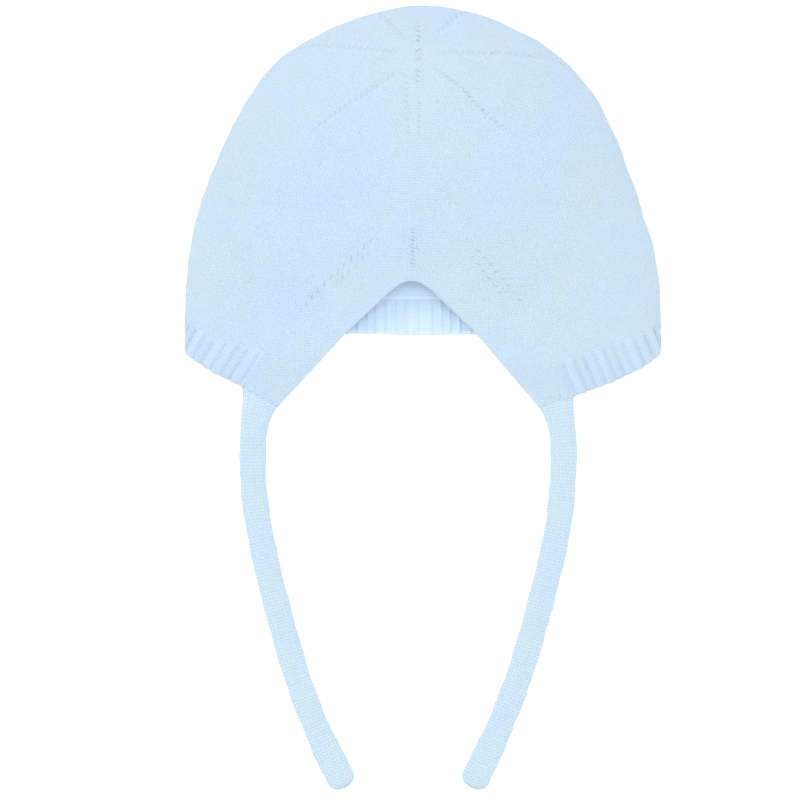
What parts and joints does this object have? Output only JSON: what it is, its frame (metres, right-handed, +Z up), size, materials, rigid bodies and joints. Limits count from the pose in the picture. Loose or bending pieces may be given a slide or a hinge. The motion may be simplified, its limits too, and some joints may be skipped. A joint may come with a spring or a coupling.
{
  "type": "baby's knitted bonnet with ties",
  "caption": "Soft knitted baby bonnet with a notched face opening, ribbed neck band and long knitted ties, laid flat.",
  "frame": {"origin": "on the surface that the bonnet lies on, under the middle of the flattened bonnet without its ties", "axes": "+Z up from the surface to the face side, +Y from the neck to the crown, +X to the right of the face opening as the picture shows it"},
  "size_m": [0.1906, 0.3132, 0.0284],
  "materials": {
    "plain_knit": "fine cotton stocking stitch, pale blue",
    "rib_knit": "cotton rib, pale blue",
    "tie_knit": "narrow knitted cotton strip, pale blue"
  },
  "bodies": {
    "root": {"crown": "plain_knit", "neck_band": "rib_knit", "tie_left": "tie_knit", "tie_right": "tie_knit"}
  },
  "joints": []
}
